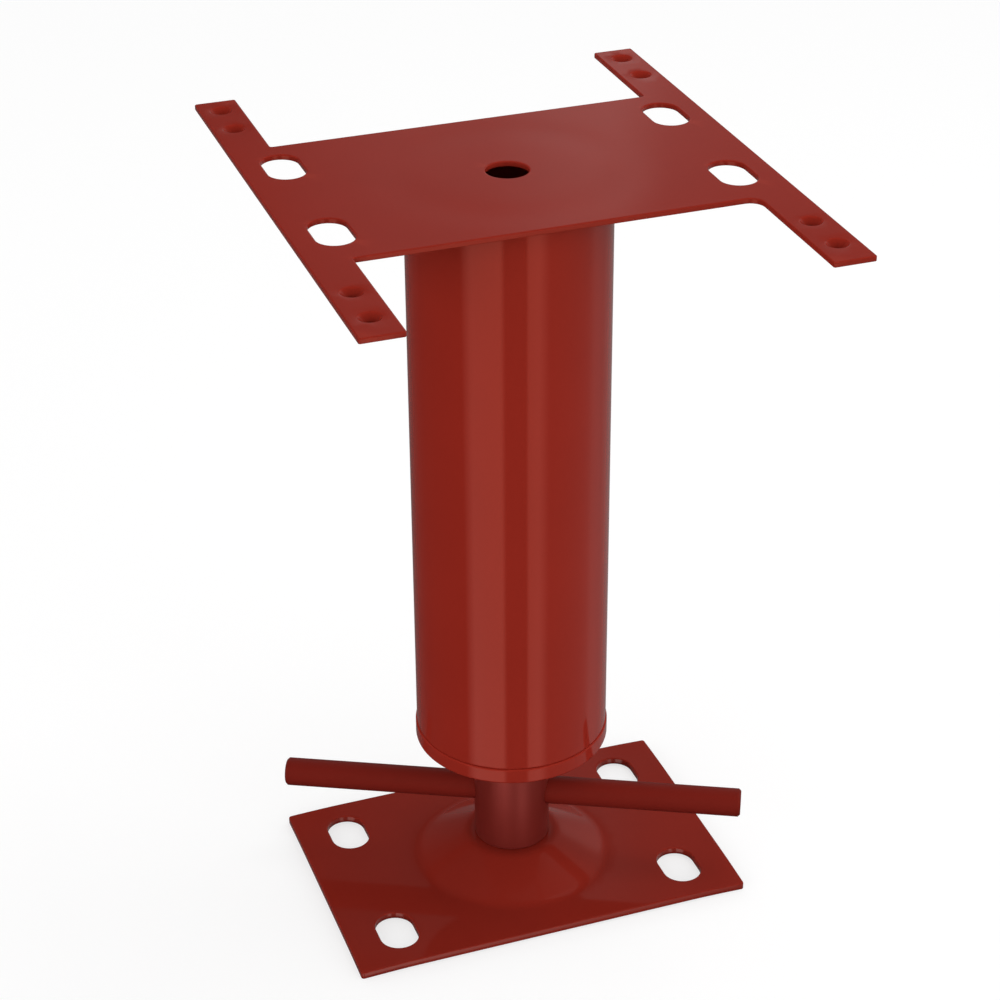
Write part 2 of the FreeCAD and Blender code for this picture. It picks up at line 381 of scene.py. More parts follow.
def steelMaterial(name, look):
    # bare machined steel with a film of oil
    material = bpy.data.materials.new(name)
    tree = nodeTree(material)
    place = addNode(tree, "ShaderNodeTexCoord", "place")
    stretch = addNode(tree, "ShaderNodeMapping", "turning marks stretch", {"Scale": look["stretch"]})
    marks = addNode(tree, "ShaderNodeTexNoise", "turning marks", {"Scale": look["markScale"], "Detail": 2})
    film = addNode(tree, "ShaderNodeTexNoise", "oil film", {"Scale": look["filmScale"], "Detail": 5})
    tint = addNode(tree, "ShaderNodeValToRGB", "steel range")
    ramp = tint.color_ramp
    ramp.elements[0].position, ramp.elements[1].position = look["tintRange"]
    ramp.elements[0].color = look["darkColor"] + [1]
    ramp.elements[1].color = look["color"] + [1]
    rough = addNode(tree, "ShaderNodeMapRange", "gloss range",
                    {"To Min": look["roughness"] * (1 - look["glossSpread"]),
                     "To Max": look["roughness"] * (1 + look["glossSpread"])})
    bump = addNode(tree, "ShaderNodeBump", "turning mark bump", {"Strength": 1, "Distance": look["markDepth"]})
    steel = addNode(tree, "ShaderNodeBsdfPrincipled", "steel", {"Metallic": look["metallic"]})
    out = addNode(tree, "ShaderNodeOutputMaterial", "out")
    wire(tree, (place, "Object", stretch, "Vector"), (stretch, "Vector", marks, "Vector"),
         (place, "Object", film, "Vector"), (film, "Fac", tint, "Fac"), (tint, "Color", steel, "Base Color"),
         (film, "Fac", rough, "Value"), (rough, "Result", steel, "Roughness"), (marks, "Fac", bump, "Height"),
         (bump, "Normal", steel, "Normal"), (steel, "BSDF", out, "Surface"))
    return material


redOxide = {
    "color": [0.25, 0.0185, 0.0105], "variation": 0.04, "edgeHighlightColor": [0.33, 0.03, 0.016], "edgeHighlightShare": 0.35,
    "patchScale": 22, "speckScale": 900, "roughness": 0.07, "shineTint": [1, 0.27, 0.19], "ior": 1.5,
    "peelScale": 700, "peelDepth": 0.000003, "waveScale": 28, "waveDepth": 0.00004,
    # noise values between which the tint runs, share of the specks, pointiness of the edges that get the painted
    # highlight, spread of the roughness
    "tintRange": (0.32, 0.68), "speckShare": 0.3, "edgeRange": (0.53, 0.62), "glossSpread": 0.15,
}
# one red oxide paint on every piece: its colour is made lighter on the tube, a painted light, and darker on the base
# plate, the turning bar and the screw's shank, a painted shade for the light that the top plate and the disc keep off
# them
tubePaintLit = paintMaterial("redOxideTubeLit", {**redOxide, "color": [0.3, 0.021, 0.012]})
platePaint = paintMaterial("redOxidePlate", {**redOxide, "waveScale": 16, "waveDepth": 0.00003})
basePaintShaded = paintMaterial("redOxideBaseShaded", {**redOxide, "color": [0.22, 0.0165, 0.0095], "shineTint": [1, 0.62, 0.55]})
screwPaintShaded = paintMaterial("redOxideScrewShaded", {**redOxide, "color": [0.12, 0.01, 0.0065], "roughness": 0.46, "ior": 2.7,
                                              "shineTint": [1, 0.2, 0.17]})
barPaintShaded = paintMaterial("redOxideBarShaded", {**redOxide, "color": [0.168, 0.013, 0.0085], "roughness": 0.5, "ior": 1.2})
beadPaint = paintMaterial("redOxideBead", {**redOxide, "peelDepth": 0.00002, "roughness": 0.12})
bareSteel = {"metallic": 1, "stretch": (1, 1, 1), "tintRange": (0.35, 0.7), "glossSpread": 0.3}
oiledSteel = steelMaterial("oiledSteel", {
    **bareSteel, "color": [0.42, 0.4, 0.38], "darkColor": [0.2, 0.18, 0.165], "roughness": 0.38,
    "stretch": (1, 1, 30), "markScale": 60, "markDepth": 0.00002, "filmScale": 90,
})
nutSteel = steelMaterial("nutSteel", {
    **bareSteel, "color": [0.3, 0.29, 0.28], "darkColor": [0.14, 0.13, 0.125], "roughness": 0.5,
    "markScale": 300, "markDepth": 0.00003, "filmScale": 120,
})
weldSteel = steelMaterial("weldSteel", {
    **bareSteel, "color": [0.2, 0.19, 0.19], "darkColor": [0.08, 0.07, 0.075], "roughness": 0.45,
    "markScale": 500, "markDepth": 0.00006, "filmScale": 200,
})
print("materials made")


# ---- base plate: a pressed sheet, crowned a little, its corners down on the floor

basePlate = {
    "length": 163.6, "width": 107.8, "thickness": 3.0, "corner": 1.2,
    "holeX": 61.1, "holeY": 33.9, "holeLength": 22.1, "holeWidth": 15.5,
    "domeHeight": 14.3, "crownRadius": 16.8, "footRadius": 41.0, "crownBend": 8.0, "footBend": 9.0,
    "bore": 8.06,
    "crown": 0.6, "droopReach": 24.0, "edgeRound": 0.5, "lowEdgeShare": 0.5, "faceStrip": 0.4,
    "cornerSteps": 6, "edgeStep": 3.0, "gridStep": 3.4, "gridClear": 1.5, "boreSteps": 48,
    "ringStep": 1.8, "crownRings": [10.5, 13, 15.3], "bendRings": 4, "coneRings": 9,
}


def smoothStep(x):
    x = min(1.0, max(0.0, x))
    return x * x * (3 - 2 * x)


def domeBends(spec):
    # slope of the cone and the radii where it meets its two bends
    rise = spec["domeHeight"] - spec["thickness"] - spec["crownBend"] - spec["footBend"]
    run = spec["footRadius"] - spec["crownRadius"]
    bends = spec["crownBend"] + spec["footBend"]
    slope = math.acos(-bends / math.hypot(rise, run)) - math.atan2(run, rise)
    return (slope, spec["crownRadius"] + spec["crownBend"] * math.sin(slope),
            spec["footRadius"] - spec["footBend"] * math.sin(slope))


def domeLevel(r, spec, below):
    # height of the dome's outside, or of the parallel face the given depth below it
    slope = domeBends(spec)[0]
    upper, lower = spec["crownBend"] - below, spec["footBend"] + below
    upperZ = spec["domeHeight"] - spec["crownBend"]
    lowerZ = spec["thickness"] + spec["footBend"]
    upperR, lowerR = spec["crownRadius"], spec["footRadius"]
    if r <= upperR:
        return upperZ + upper
    if r <= upperR + upper * math.sin(slope):
        return upperZ + math.sqrt(upper ** 2 - (r - upperR) ** 2)
    if r >= lowerR:
        return lowerZ - lower
    if r >= lowerR - lower * math.sin(slope):
        return lowerZ - math.sqrt(lower ** 2 - (lowerR - r) ** 2)
    return upperZ + upper * math.cos(slope) - (r - upperR - upper * math.sin(slope)) * math.tan(slope)


def baseHeights(x, y):
    spec = basePlate
    r = math.hypot(x, y)
    coneTop, coneFoot = domeBends(spec)[1:]
    u = smoothStep((abs(x) - spec["length"] / 2 + spec["droopReach"]) / spec["droopReach"] / 2) * 2
    v = smoothStep((abs(y) - spec["width"] / 2 + spec["droopReach"]) / spec["droopReach"] / 2) * 2
    lift = spec["crown"] * (1 - min(1, u * v)) * min(1, max(0, (r - coneTop) / (coneFoot - coneTop)))
    return domeLevel(r, spec, 0) + lift, domeLevel(r, spec, spec["thickness"]) + lift


def makeBasePlate():
    spec = basePlate
    halfX, halfY = spec["length"] / 2, spec["width"] / 2
    corner = spec["corner"]
    outline = loopFromCorners([(-halfX, -halfY, corner), (halfX, -halfY, corner),
                               (halfX, halfY, corner), (-halfX, halfY, corner)],
                              spec["cornerSteps"], spec["edgeStep"])
    e, low, strip = spec["edgeRound"], spec["edgeRound"] * spec["lowEdgeShare"], spec["faceStrip"]
    wall = [(e + strip, 0, 0)] + [(i, 0, d) for i, d in cornerRounding(e)]
    wall += [(i, 1, -d) for i, d in reversed(cornerRounding(low, 3))] + [(low + strip, 1, 0)]
    holes = []
    for sx in (-1, 1):
        for sy in (-1, 1):
            holes.append((slotLoop(sx * spec["holeX"], sy * spec["holeY"], spec["holeLength"],
                                   spec["holeWidth"]), wall))
    bore = circleLoop(0, 0, spec["bore"], spec["boreSteps"])
    # a sharp punched edge, with strips beside it that hold the shading
    boreWall = [(0.6, 0, 0), (0.2, 0, 0), (0, 0, 0.2), (0, 1, -0.2), (0.2, 1, 0), (0.6, 1, 0)]
    holes.append((bore, boreWall))
    flatFrom = spec["footRadius"] + spec["gridClear"]
    grid = [q for q in gridPoints(halfX, -halfY, halfY, spec["gridStep"]) if q.length > flatFrom]
    # rings close together over the two bends, wide apart on the crown and the cone
    coneTop, coneFoot = domeBends(spec)[1:]
    bend, cone = spec["bendRings"], spec["coneRings"]
    radii = list(spec["crownRings"])
    radii += [spec["crownRadius"] + (coneTop - spec["crownRadius"]) * k / bend for k in range(bend + 1)]
    radii += [coneTop + (coneFoot - coneTop) * k / cone for k in range(1, cone)]
    radii += [coneFoot + (spec["footRadius"] - coneFoot) * k / bend for k in range(bend + 1)]
    for ring, radius in enumerate(radii):
        count = max(spec["boreSteps"], int(2 * math.pi * radius / spec["ringStep"]))
        turn = math.pi / count * (ring % 2)
        grid += [Vector((radius * math.cos(turn + 2 * math.pi * k / count),
                         radius * math.sin(turn + 2 * math.pi * k / count))) for k in range(count)]
    return sheetMesh("basePlate", (outline, wall), holes, grid, baseHeights)


piece = addPiece("basePlate", makeBasePlate(), basePaintShaded)
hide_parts("base_plate")
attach(piece, "foot")
print("base plate made")


# ---- screw: shank with its cross hole, riveted foot, and the thread above

screw = {
    "shankRadius": 15.3, "tenonRadius": 8.0, "rivetRadius": 11.5, "domeTop": 14.3, "discBottom": 65.1,
    "rivetTop": 8.55, "rivetBottom": 4.95, "threadRadius": 14.3, "rootRadius": 11.1, "neckTop": 68.6,
    "threadTop": 209.9, "pitch": 6.35, "crossHeight": 35.2, "crossRadius": 5.75, "barTurn": -26.8,
    "rivetChamfer": 1.8, "rivetRound": 1.2, "rivetTopRound": 0.2, "tenonRound": 0.1,
    "shankChamfer": 0.6, "chamferRound": 0.25, "shankTopRound": 0.4, "neckRound": 0.3, "around": 96,
    "crossGap": 0.12, "cutterSpare": 3, "cutterAround": 64,
    "threadSteps": 48, "threadTurns": 25, "threadLeadIn": 1.2,
}


def makeShank():
    spec = screw
    s, t, r = spec["shankRadius"], spec["tenonRadius"], spec["rivetRadius"]
    chamfer, rivetChamfer = spec["shankChamfer"], spec["rivetChamfer"]
    soft, rivetSoft = spec["chamferRound"], spec["rivetRound"]
    profile = roundedPath([
        (0, spec["rivetBottom"], 0), (r - rivetChamfer, spec["rivetBottom"], rivetSoft),
        (r, spec["rivetBottom"] + rivetChamfer, rivetSoft), (r, spec["rivetTop"], spec["rivetTopRound"]),
        (t, spec["rivetTop"], spec["tenonRound"]), (t, spec["domeTop"], spec["tenonRound"]),
        (s - chamfer, spec["domeTop"], soft), (s, spec["domeTop"] + chamfer, soft),
        (s, spec["discBottom"], spec["shankTopRound"]), (spec["rootRadius"], spec["discBottom"], spec["neckRound"]),
        (spec["rootRadius"], spec["neckTop"], 0), (0, spec["neckTop"], 0),
    ])
    mesh = latheMesh("screwShank", profile, spec["around"])
    smoothMesh(mesh, 40)
    shank = newObject("screwShankWork", mesh)
    cutter = newObject("crossCutter", crossCutter())
    cut = shank.modifiers.new("cross hole", "BOOLEAN")
    cut.object = cutter
    cut.operation = "DIFFERENCE"
    cut.solver = "EXACT"
    made = bakedMesh("screwShank", shank)
    bpy.data.objects.remove(shank)
    bpy.data.objects.remove(cutter)
    return made


def alongBar():
    # turns a lathe's Z to the bar's direction and lifts it to the bar's height
    return (Matrix.Translation((0, 0, screw["crossHeight"] * mm))
            @ Matrix.Rotation(math.radians(screw["barTurn"]), 4, "Z") @ Matrix.Rotation(math.pi / 2, 4, "Y"))


def crossCutter():
    reach = screw["shankRadius"] + screw["cutterSpare"]
    radius = screw["crossRadius"] + screw["crossGap"]
    profile = [(0, -reach), (radius, -reach), (radius, reach), (0, reach)]
    mesh = latheMesh("crossCutter", profile, screw["cutterAround"])
    mesh.transform(alongBar())
    return mesh


def startGrid(name, numbers, count, gridLabel):
    # a node group with number sockets, one count and a finish, and the flat grid that it shapes
    tree = bpy.data.node_groups.new(name, "GeometryNodeTree")
    kinds = [(label, "NodeSocketFloat") for label in numbers]
    kinds += [(count, "NodeSocketInt"), ("Finish", "NodeSocketMaterial")]
    sockets = {label: tree.interface.new_socket(label, in_out="INPUT", socket_type=kind).identifier
               for label, kind in kinds}
    tree.interface.new_socket("Geometry", in_out="OUTPUT", socket_type="NodeSocketGeometry")
    given = addNode(tree, "NodeGroupInput", "given")
    grid = addNode(tree, "GeometryNodeMeshGrid", gridLabel, {"Size X": 1, "Size Y": 1, "Vertices Y": 9})
    spot = addNode(tree, "GeometryNodeInputPosition", "spot")
    parts = addNode(tree, "ShaderNodeSeparateXYZ", "spot parts")
    tree.links.new(given.outputs[count], grid.inputs["Vertices X"])
    tree.links.new(spot.outputs["Position"], parts.inputs["Vector"])
    sumOf = sumMaker(tree)
    along = sumOf("ADD", "along", parts.outputs["X"], 0.5)
    across = sumOf("ADD", "across", parts.outputs["Y"], 0.5)
    return tree, sockets, given.outputs, grid, sumOf, along, across


def sumMaker(tree):
    # short way to write sums: kind, label, then one or two numbers or sockets
    def sumOf(kind, label, a, b=None):
        node = addNode(tree, "ShaderNodeMath", label, operation=kind)
        for index, value in enumerate((a, b)):
            if isinstance(value, (int, float)):
                node.inputs[index].default_value = value
            elif value is not None:
                tree.links.new(value, node.inputs[index])
        return node.outputs["Value"]
    return sumOf


def sectionCurve(tree, label, across, shape, column):
    # straight lines through one column of the section
    node = addNode(tree, "ShaderNodeFloatCurve", label)
    curve = node.mapping.curves[0]
    curve.points[0].location = (shape[0][0], shape[0][column])
    curve.points[1].location = (shape[-1][0], shape[-1][column])
    for row in shape[1:-1]:
        curve.points.new(row[0], row[column])
    for point in curve.points:
        point.handle_type = "VECTOR"
    node.mapping.update()
    tree.links.new(across, node.inputs["Value"])
    return node.outputs["Value"]


def finishGrid(tree, given, grid, sumOf, radius, angle, height):
    # bend the grid round the axis, join its seam and give it the finish
    link = tree.links.new
    spun = addNode(tree, "ShaderNodeCombineXYZ", "spot round the axis")
    link(sumOf("MULTIPLY", "x", radius, sumOf("COSINE", "cos", angle)), spun.inputs["X"])
    link(sumOf("MULTIPLY", "y", radius, sumOf("SINE", "sin", angle)), spun.inputs["Y"])
    link(height, spun.inputs["Z"])
    wind = addNode(tree, "GeometryNodeSetPosition", "wind")
    weld = addNode(tree, "GeometryNodeMergeByDistance", "join the seam", {"Distance": seamJoin})
    real = addNode(tree, "GeometryNodeRealizeInstances", "real")
    coat = addNode(tree, "GeometryNodeSetMaterial", "finish")
    link(given["Finish"], coat.inputs["Material"])
    out = addNode(tree, "NodeGroupOutput", "out")
    wire(tree, (grid, "Mesh", wind, "Geometry"), (spun, "Vector", wind, "Position"),
         (wind, "Geometry", weld, "Geometry"), (weld, "Geometry", real, "Geometry"),
         (real, "Geometry", coat, "Geometry"), (coat, "Geometry", out, "Geometry"))


def threadTree():
    # a helical sheet: X of the grid runs along the turns, Y across one pitch
    tree, sockets, given, grid, sumOf, along, across = startGrid(
        "screwThread", ("Crest Radius", "Root Radius", "Pitch", "Turns", "Bottom"), "Steps", "unrolled thread")
    turned = sumOf("MULTIPLY", "turns so far", along, given["Turns"])
    angle = sumOf("MULTIPLY", "angle", turned, 2 * math.pi)
    # section: share of the grid, height in pitches, depth in teeth
    shape = [(0, 0, 1), (0.125, 0.33, 1), (0.25, 0.371, 0.97), (0.375, 0.48, 0.08), (0.5, 0.52, 0),
             (0.625, 0.83, 0), (0.75, 0.87, 0.08), (0.875, 0.98, 0.97), (1, 1, 1)]
    rise = sectionCurve(tree, "height across one pitch", across, shape, 1)
    depth = sectionCurve(tree, "depth across one pitch", across, shape, 2)
    level = sumOf("ADD", "pitches up", turned, rise)
    height = sumOf("ADD", "height", sumOf("MULTIPLY", "rise", level, given["Pitch"]), given["Bottom"])
    tooth = sumOf("SUBTRACT", "tooth", given["Crest Radius"], given["Root Radius"])
    radius = sumOf("ADD", "radius", sumOf("MULTIPLY", "depth here", tooth, depth), given["Root Radius"])
    finishGrid(tree, given, grid, sumOf, radius, angle, height)
    return tree, sockets


def meshFromTree(name, treeAndSockets, values):
    tree, sockets = treeAndSockets
    work = newObject(name + "Work", bpy.data.meshes.new(name + "Work"))
    maker = work.modifiers.new("maker", "NODES")
    maker.node_group = tree
    for label, value in values.items():
        maker[sockets[label]] = value
    made = bakedMesh(name, work)
    work.modifiers.remove(maker)
    bpy.data.objects.remove(work)
    return made


def makeThread():
    spec = screw
    turns = spec["threadTurns"]
    bottom = spec["neckTop"] - spec["threadLeadIn"] * spec["pitch"]
    mesh = meshFromTree("screwThread", threadTree(), {
        "Crest Radius": spec["threadRadius"] * mm, "Root Radius": spec["rootRadius"] * mm,
        "Pitch": spec["pitch"] * mm, "Turns": float(turns), "Bottom": bottom * mm,
        "Steps": turns * spec["threadSteps"] + 1, "Finish": oiledSteel,
    })
    work = bmesh.new()
    work.from_mesh(mesh)
    for height, side in ((spec["neckTop"], -1), (spec["threadTop"], 1)):
        cut = bmesh.ops.bisect_plane(work, geom=work.verts[:] + work.edges[:] + work.faces[:],
                                     plane_co=(0, 0, height * mm), plane_no=(0, 0, side), clear_outer=True)
        rim = [e for e in cut["geom_cut"] if isinstance(e, bmesh.types.BMEdge)]
        bmesh.ops.edgeloop_fill(work, edges=rim)
    bmesh.ops.triangulate(work, faces=[f for f in work.faces if len(f.verts) > 4])
    bmesh.ops.recalc_face_normals(work, faces=work.faces)
    work.to_mesh(mesh)
    work.free()
    smoothMesh(mesh, 42)
    return mesh


piece = addPiece("screwShank", makeShank(), screwPaintShaded)
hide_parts("lift_screw")
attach(piece, "screw")
piece = addPiece("screwThread", makeThread(), oiledSteel)
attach(piece, "screw")
print("screw made")


# ---- turning bar

turningBar = {"radius": 5.75, "length": 188.0, "chamfer": 0.9, "edgeRound": 0.35, "around": 64}


def makeBar():
    spec = turningBar
    end, r, c = spec["length"] / 2, spec["radius"], spec["chamfer"]
    e = spec["edgeRound"]
    profile = roundedPath([
        (0, -end, 0), (r - c, -end, e), (r, -end + c, e), (r, end - c, e), (r - c, end, e), (0, end, 0),
    ])
    mesh = latheMesh("turningBar", profile, spec["around"])
    mesh.transform(alongBar())
    smoothMesh(mesh)
    return mesh


piece = addPiece("turningBar", makeBar(), barPaintShaded)
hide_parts("turning_bar")
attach(piece, "screw")
print("turning bar made")


# ---- tube and the disc that closes its foot

tube = {"radius": 38.1, "wall": 3.0, "bottom": 71.45, "top": 304.6, "footRound": 0.45, "around": 192,
        "supportDrop": 60}
disc = {"radius": 38.6, "bore": 14.7, "bottom": 65.1, "top": 71.45, "edgeRound": 0.5}


def makeTube():
    spec = tube
    outer, inner = spec["radius"], spec["radius"] - spec["wall"]
    f = spec["footRound"]
    support = spec["top"] - spec["supportDrop"]
    profile = roundedPath([
        (inner, spec["bottom"], 0), (outer, spec["bottom"], f), (outer, support, 0),
        (outer, spec["top"], 0), (inner, spec["top"], 0), (inner, support, 0),
    ])
    mesh = latheMesh("outerTube", profile, spec["around"], closed=True)
    smoothMesh(mesh, 60)
    return mesh


def makeDisc():
    spec = disc
    e = spec["edgeRound"]
    profile = roundedPath([
        (spec["bore"], spec["bottom"], 0), (spec["radius"], spec["bottom"], e), (spec["radius"], spec["top"], e),
        (spec["bore"], spec["top"], 0),
    ])
    mesh = latheMesh("bearingDisc", profile, tube["around"], closed=True)
    smoothMesh(mesh, 60)
    return mesh


for name, made, node in (("outerTube", makeTube(), "outer_tube"), ("bearingDisc", makeDisc(), "bearing_disc")):
    piece = addPiece(name, made, tubePaintLit)
    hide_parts(node)
    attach(piece, "post")
print("tube and disc made")


# ---- top plate: stamped sheet with four nailing ears and eight nail seats

topPlate = {
    "bottom": 304.6, "thickness": 2.0, "length": 179.4, "width": 104.8, "earWidth": 15.9,
    "reachBack": 104.4, "reachFront": 111.5, "earCorner": 0.8, "notch": 1.0, "notchRightFront": 5.0,
    "holeX": 74.4, "holeY": 30.7, "holeLength": 23.5, "holeWidth": 14.0, "holeShift": 1.5,
    "centreRadius": 7.95, "nailX": 81.75, "nailFront": -97.5, "nailBack": 94.5, "nailPitch": 19.8,
    "nailRadius": 2.0, "seatRadius": 4.0, "seatDrop": 1.5, "nailLand": 0.9, "lipWall": 1.5, "shoulder": 0.8,
    "edgeRound": 0.45, "lowEdgeShare": 0.45, "topStrip": 0.25, "lowStrip": 0.3,
    "cornerSteps": 6, "edgeStep": 4.0, "gridStep": 5.0, "centreSteps": 56, "nailSteps": 36,
    # depth of the dip that the weld has pulled, and radius, breadth and share of each of its rings
    "weldPull": 0.1, "pullRings": ((40, 9, 1), (66, 16, 0.35)),
}


def plateHeights(x, y):
    # the weld has drawn the sheet down a hair round the tube
    spec = topPlate
    r = math.hypot(x, y)
    dip = spec["weldPull"] * sum(share * math.exp(-((r - at) / breadth) ** 2)
                                 for at, breadth, share in spec["pullRings"])
    top = spec["bottom"] + spec["thickness"] - dip
    return top, top - spec["thickness"]


def makeTopPlate():
    spec = topPlate
    halfX = spec["length"] / 2
    innerX = halfX - spec["earWidth"]
    halfY = spec["width"] / 2
    o, n = spec["earCorner"], spec["notch"]
    outline = loopFromCorners([
        (-halfX, -spec["reachFront"], o), (-innerX, -spec["reachFront"], o), (-innerX, -halfY, n),
        (innerX, -halfY, spec["notchRightFront"]), (innerX, -spec["reachFront"], o),
        (halfX, -spec["reachFront"], o), (halfX, spec["reachBack"], o), (innerX, spec["reachBack"], o),
        (innerX, halfY, n), (-innerX, halfY, n), (-innerX, spec["reachBack"], o), (-halfX, spec["reachBack"], o),
    ], spec["cornerSteps"], spec["edgeStep"])
    e, low = spec["edgeRound"], spec["edgeRound"] * spec["lowEdgeShare"]
    wall = [(e + spec["topStrip"], 0, 0)] + [(i, 0, d) for i, d in cornerRounding(e)]
    wall += [(i, 1, -d) for i, d in reversed(cornerRounding(low, 3))] + [(low + spec["lowStrip"], 1, 0)]
    holes = []
    for sx in (-1, 1):
        for sy in (-1, 1):
            holes.append((slotLoop(sx * spec["holeX"], sy * spec["holeY"] + spec["holeShift"],
                                   spec["holeLength"], spec["holeWidth"]), wall))
    holes.append((circleLoop(0, spec["holeShift"], spec["centreRadius"], spec["centreSteps"]), wall))
    seat, nail = spec["seatRadius"] - spec["nailRadius"], 0.0
    land = spec["thickness"] + spec["seatDrop"]
    # down the pressed seat and the nail hole, round the lip and back up to the underside
    seatWall = [
        (seat + 0.5, 0, 0), (seat + 0.22, 0, 0.04), (seat, 0, 0.16), (seat - 0.2, 0, 0.4),
        (nail + 0.3, 0, land - spec["nailLand"] - 0.28), (nail, 0, land - spec["nailLand"]),
        (nail, 0, land - 0.15), (nail + 0.15, 0, land), (nail + spec["lipWall"] - 0.2, 0, land),
        (nail + spec["lipWall"], 0, land - 0.1), (seat + spec["shoulder"], 1, 0),
        (seat + spec["shoulder"] + 0.4, 1, 0),
    ]
    for sx in (-1, 1):
        for y in (spec["nailFront"], spec["nailFront"] + spec["nailPitch"], spec["nailBack"],
                  spec["nailBack"] - spec["nailPitch"]):
            holes.append((circleLoop(sx * spec["nailX"], y, spec["nailRadius"], spec["nailSteps"]), seatWall))
    grid = gridPoints(halfX, -spec["reachFront"], spec["reachBack"], spec["gridStep"])
    return sheetMesh("topPlate", (outline, wall), holes, grid, plateHeights)


piece = addPiece("topPlate", makeTopPlate(), platePaint)
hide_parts("top_plate")
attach(piece, "post")
print("top plate made")


# ---- weld bead under the top plate

topBead = {"wall": 38.1, "top": 304.6, "leg": 3.1, "ripples": 96, "rippleDepth": 0.09, "around": 384}


def beadTree():
    # a fillet bead: X of the grid runs round the tube, Y round the bead's section
    tree, sockets, given, grid, sumOf, along, across = startGrid(
        "weldBead", ("Wall Radius", "Top", "Leg", "Ripples", "Ripple Depth"), "Around", "unrolled bead")
    angle = sumOf("MULTIPLY", "angle", along, 2 * math.pi)
    # section: share of the grid, out along the sheet and back down the bead's face, down and up the wall
    shape = [(0, 0, 0), (0.125, 0.5, 0), (0.25, 1, 0), (0.375, 0.74, 0.2), (0.5, 0.46, 0.46), (0.625, 0.2, 0.74),
             (0.75, 0, 1), (0.875, 0, 0.5), (1, 0, 0)]
    outward = sectionCurve(tree, "out from the wall", across, shape, 1)
    downward = sectionCurve(tree, "down from the sheet", across, shape, 2)
    halfTurns = sumOf("MULTIPLY", "half turns", sumOf("MULTIPLY", "ripple count", angle, given["Ripples"]), 0.5)
    ripple = sumOf("ABSOLUTE", "ripple", sumOf("SINE", "wave", halfTurns))
    swell = sumOf("ADD", "swell", sumOf("MULTIPLY", "ripple height", ripple, given["Ripple Depth"]),
                  sumOf("SUBTRACT", "hollow", 1.0, given["Ripple Depth"]))
    leg = sumOf("MULTIPLY", "leg here", swell, given["Leg"])
    radius = sumOf("ADD", "radius", sumOf("MULTIPLY", "out", leg, outward), given["Wall Radius"])
    height = sumOf("SUBTRACT", "height", given["Top"], sumOf("MULTIPLY", "down", leg, downward))
    finishGrid(tree, given, grid, sumOf, radius, angle, height)
    return tree, sockets


def makeBead():
    spec = topBead
    mesh = meshFromTree("topBead", beadTree(), {
        "Wall Radius": spec["wall"] * mm, "Top": spec["top"] * mm, "Leg": spec["leg"] * mm,
        "Ripples": float(spec["ripples"]), "Ripple Depth": spec["rippleDepth"],
        "Around": spec["around"] + 1, "Finish": beadPaint,
    })
    faceOutward(mesh)
    smoothMesh(mesh, 50)
    return mesh


piece = addPiece("topBead", makeBead(), beadPaint)
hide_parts("top_weld")
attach(piece, "post")
print("weld bead made")


# ---- CAD nodes that stay, with a better finish

for node, material in (("lift_nut", nutSteel), ("nut_weld", weldSteel), ("retaining_washer", nutSteel)):
    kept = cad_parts[node]
    if not kept.material_slots:
        kept.data.materials.append(material)
    for slot in kept.material_slots:
        slot.material = material
print("kept nodes finished")


# ---- camera, floor and light

cameraPlace = {"spot": (-0.279255, -0.779683, 0.646629), "turn": -19.434, "tilt": -29.858, "roll": -0.407,
               "lens": 89.473}
studio = {
    "floorColor": 0.36, "floorGlow": 0.665, "floorBounce": 0.05, "floorHalf": 8,
    # light that matt paint gets: bright below ringTop degrees, fading over ringSoftness either side
    "fill": 0.5, "ringFill": 2.45, "ringTop": 30, "ringSoftness": 12,
    "lamps": [
        # name, spot, aim, width, height, watts
        ("overhead", (0.5, 0.0, 1.2), (0.05, 0, 0.3), 0.6, 0.6, 3),
        ("frontRight", (0.75, -1.5, 0.8), (0, 0, 0.2), 0.9, 1.1, 3),
        ("frontLeft", (-1.6, -0.9, 0.7), (0, 0, 0.2), 0.9, 1.1, 3),
    ],
    # brightness that gloss sees by turn from the camera's own side, anticlockwise from above:
    # first what upright faces see below eye level, then what the plates see above it
    "lowBands": [(-180, 0.15), (-150, 0.1), (-124, 0.06), (-118, 0.045), (-55, 0.045), (-43, 1.5), (-10, 1.65),
                 (-5, 0.16), (18, 0.16), (21, 1.35), (33, 1.5), (45, 0.31), (90, 0.31), (98, 0.33), (108, 0.42),
                 (128, 0.25), (180, 0.24)],
    "highBands": [(-180, 0.26), (-176.5, 0.2), (-173.5, 0.07), (-120, 0.06), (-60, 0.1), (60, 0.12), (100, 0.16),
                  (118, 0.4), (142, 0.4), (156, 0.2), (172, 0.16), (174.5, 0.2), (176.2, 0.25), (176.8, 0.42),
                  (178.3, 0.42), (179, 0.31), (180, 0.27)],
    # degrees above and below eye level over which those bands dim, to what share
    "highFadeFrom": 21, "highFadeTo": 27, "highFade": 0.55,
    "underfootFrom": 39, "underfootTo": 46, "underfoot": 0.1,
    "eyeLevelBlend": 0.06,
}


def heightOf(degrees):
    # Z of a unit direction that many degrees above eye level
    return math.sin(math.radians(degrees))


def makeCamera():
    spec = cameraPlace
    turn, tilt, roll = (math.radians(spec[k]) for k in ("turn", "tilt", "roll"))
    ahead = Vector((-math.sin(turn) * math.cos(tilt), math.cos(turn) * math.cos(tilt), math.sin(tilt)))
    level = Vector((math.cos(turn), math.sin(turn), 0))
    above = level.cross(ahead)
    right = level * math.cos(roll) + above * math.sin(roll)
    up = above * math.cos(roll) - level * math.sin(roll)
    data = bpy.data.cameras.new("camera")
    data.sensor_width = 36
    data.lens = spec["lens"]
    data.clip_start = 0.01
    data.clip_end = 100
    camera = newObject("camera", data)
    camera.matrix_world = Matrix((
        (right.x, up.x, -ahead.x, spec["spot"][0]),
        (right.y, up.y, -ahead.y, spec["spot"][1]),
        (right.z, up.z, -ahead.z, spec["spot"][2]),
        (0, 0, 0, 1),
    ))
    bpy.context.scene.camera = camera


